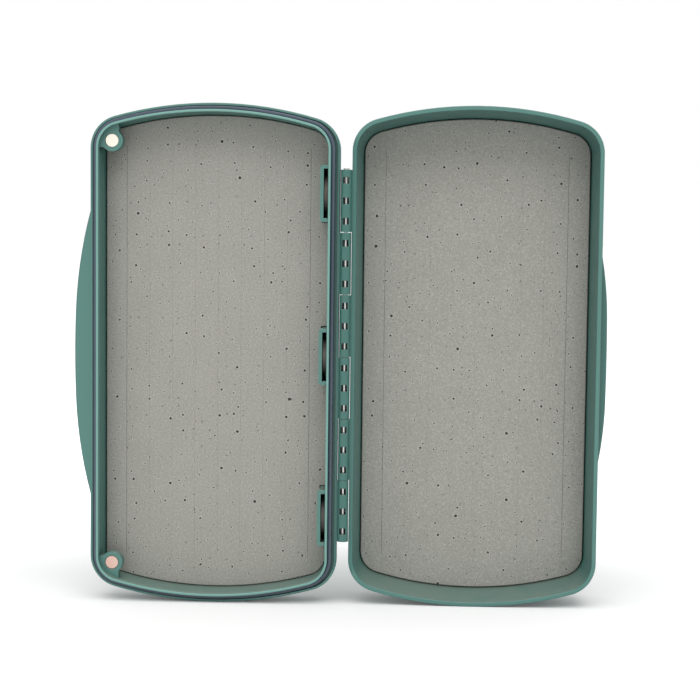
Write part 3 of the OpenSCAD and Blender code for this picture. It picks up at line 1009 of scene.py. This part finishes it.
@dataclass
class Case:
    """The carried-over rigid pieces: both trays, the pin, the magnets, the keepers and the films."""

    plastic: bpy.types.Material
    steel: bpy.types.Material
    nickel: bpy.types.Material
    dull_and_slot_shade: bpy.types.Material
    film: bpy.types.Material
    warm: bpy.types.Material
    nodes: dict[str, bpy.types.Object] = field(default_factory=lambda: frame["nodes"])

    def build(self) -> list[str]:
        """Dresses every carried-over node.

        Returns:
            The names of the dressed nodes.
        """
        finishes = {"shell": self.plastic, "pin": self.steel, "corner_magnet_upper": self.nickel,
                    "corner_magnet_lower": self.warm, "spine_magnet": self.dull_and_slot_shade,
                    "keeper": self.nickel, "film": self.film}
        done = []
        for name, node in self.nodes.items():
            for key, material in finishes.items():
                if key in name:
                    Bench.dress(node, material)
                    done.append(name)
        Bench.clear()
        return done


@dataclass
class Studio:
    """White floor, even light with one soft lamp above and in front, and the camera."""

    camera_place: tuple[float, float, float] = (0.0414, -0.600, 0.1363)
    yaw: float = -1.523
    pitch: float = -4.091
    roll: float = 0.80
    focal_pixels: float = 1614.4
    center_x: float = 410.0
    center_y: float = 352.3
    floor_color: Color = (0.7, 0.7, 0.7, 1.0)
    floor_seen: Color = (0.95, 0.95, 0.95, 1.0)
    floor_lift: float = 0.07
    far_lift: float = 0.4
    sky_level: float = 0.66
    top_light: float = 23.0

    def build(self) -> None:
        """Builds the floor, the light and the camera."""
        self._floor()
        self._sky()
        self._lamp("top_light", (0.1, -0.8, 1.8), (0.0, 0.0, 0.1), 1.8, self.top_light)
        self._camera()
        bpy.context.scene.view_settings.view_transform = "Standard"

    def _floor(self) -> None:
        """Lays a wide floor that keeps the shadow and looks white."""
        Bench.clear()
        bpy.ops.mesh.primitive_plane_add(size=60.0, location=(0.0, 0.0, 0.0))
        floor = bpy.context.active_object
        floor.name = "studio_floor"
        material = bpy.data.materials.new("studio_floor")
        material.use_nodes = True
        material.node_tree.nodes.clear()
        graph = Graph(material.node_tree)
        matt = graph.add("ShaderNodeBsdfDiffuse")
        seen = self._seen(graph)
        graph.join(graph.mix(seen, self.floor_color, self.floor_seen), matt.inputs["Color"])
        away = graph.add("ShaderNodeVectorMath", operation="LENGTH")
        graph.join(graph.place((0.6, 2.2, 1.0)), away.inputs[0])
        far = graph.math("MULTIPLY", graph.ramp(away.outputs["Value"], 0.08, 0.45), self.far_lift)
        glow = graph.add("ShaderNodeEmission")
        lift = graph.math("MULTIPLY", seen, graph.math("ADD", far, self.floor_lift))
        graph.join(lift, glow.inputs["Strength"])
        both = graph.add("ShaderNodeAddShader")
        graph.join(matt.outputs[0], both.inputs[0])
        graph.join(glow.outputs[0], both.inputs[1])
        output = graph.add("ShaderNodeOutputMaterial")
        graph.join(both.outputs[0], output.inputs["Surface"])
        Bench.dress(floor, material)

    @staticmethod
    def _seen(graph: Graph) -> bpy.types.NodeSocket:
        """Gives 1 on rays from the camera, from a reflection or through glass, and 0 on others."""
        rays = graph.add("ShaderNodeLightPath")
        mirrored = graph.math("MAXIMUM", rays.outputs["Is Glossy Ray"], rays.outputs["Is Transmission Ray"])
        return graph.math("MAXIMUM", rays.outputs["Is Camera Ray"], mirrored)

    def _sky(self) -> None:
        """Surrounds the object with even light that looks white."""
        world = bpy.data.worlds.new("studio_sky")
        bpy.context.scene.world = world
        world.use_nodes = True
        world.node_tree.nodes.clear()
        graph = Graph(world.node_tree)
        sky = graph.add("ShaderNodeBackground")
        sky.inputs["Color"].default_value = (1.0, 1.0, 1.0, 1.0)
        rest = graph.math("MULTIPLY", self._seen(graph), 1.0 - self.sky_level)
        graph.join(graph.math("ADD", rest, self.sky_level), sky.inputs["Strength"])
        output = graph.add("ShaderNodeOutputWorld")
        graph.join(sky.outputs[0], output.inputs["Surface"])

    @staticmethod
    def _lamp(name: str, place: tuple[float, float, float], aim: tuple[float, float, float],
              side: float, power: float) -> None:
        """Hangs one soft square lamp.

        Args:
            name: The lamp's name.
            place: Where it hangs.
            aim: The point that it faces.
            side: Length of its side in metres.
            power: Its power in watts.
        """
        data = bpy.data.lights.new(name, "AREA")
        data.shape = "SQUARE"
        data.size = side
        data.energy = power
        lamp = bpy.data.objects.new(name, data)
        turn = (Vector(aim) - Vector(place)).to_track_quat("-Z", "Y")
        lamp.matrix_world = Matrix.Translation(place) @ turn.to_matrix().to_4x4()
        bpy.context.scene.collection.objects.link(lamp)

    def _camera(self) -> None:
        """Sets up the camera at the photograph's place and angle."""
        yaw, pitch, roll = (math.radians(angle) for angle in (self.yaw, self.pitch, self.roll))
        ahead = Vector((math.sin(yaw) * math.cos(pitch), math.cos(yaw) * math.cos(pitch), math.sin(pitch)))
        level = Vector((math.cos(yaw), -math.sin(yaw), 0.0))
        up = level.cross(ahead)
        right = level * math.cos(roll) + up * math.sin(roll)
        top = up * math.cos(roll) - level * math.sin(roll)
        data = bpy.data.cameras.new("camera")
        data.sensor_width = SENSOR_WIDTH
        data.lens = self.focal_pixels * SENSOR_WIDTH / IMAGE_SIDE
        data.shift_x = (IMAGE_SIDE / 2 - self.center_x) / IMAGE_SIDE
        data.shift_y = (self.center_y - IMAGE_SIDE / 2) / IMAGE_SIDE
        camera = bpy.data.objects.new("camera", data)
        turn = Matrix((right, top, -ahead)).transposed().to_4x4()
        camera.matrix_world = Matrix.Translation(self.camera_place) @ turn
        bpy.context.scene.collection.objects.link(camera)
        bpy.context.scene.camera = camera


def main() -> None:
    """Builds the studio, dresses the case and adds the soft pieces."""
    logging.basicConfig(level=logging.INFO, format="%(name)s: %(message)s")
    Studio().build()
    effects = SharedEffects()
    foam = SpeckledFoam().build(effects)
    rubber = SealRubber().build(effects)
    case = Case(
        plastic=MouldedPlastic().build(effects),
        steel=BrightMetal().build(effects),
        nickel=BrightMetal(name="magnet_nickel", body=srgb(246, 243, 230), dull=srgb(232, 227, 212),
                           roughness=0.36).build(effects),
        warm=BrightMetal(name="magnet_worn_plating", body=srgb(226, 178, 162), dull=srgb(222, 204, 194),
                         roughness=0.42).build(effects),
        # Spine magnets: dull, dark grey-brown metal; part of its darkness is painted shade of the slots they
        # sit in.
        dull_and_slot_shade=BrightMetal(name="magnet_dull_and_slot_shade", body=srgb(106, 100, 94), dull=srgb(84, 80, 76),
                           roughness=0.6, metallic=0.2).build(effects),
        film=AdhesiveFilm().build(effects))
    for name in case.build():
        log.info("dressed %s", name)
    pieces = [FoamPad(Side.BASE, foam), FoamPad(Side.LID, foam), RimGasket(rubber)]
    for piece in pieces:
        made = piece.build()
        log.info("made %s with %d faces", made.name, len(made.data.polygons))


if __name__ == "__main__":
    main()
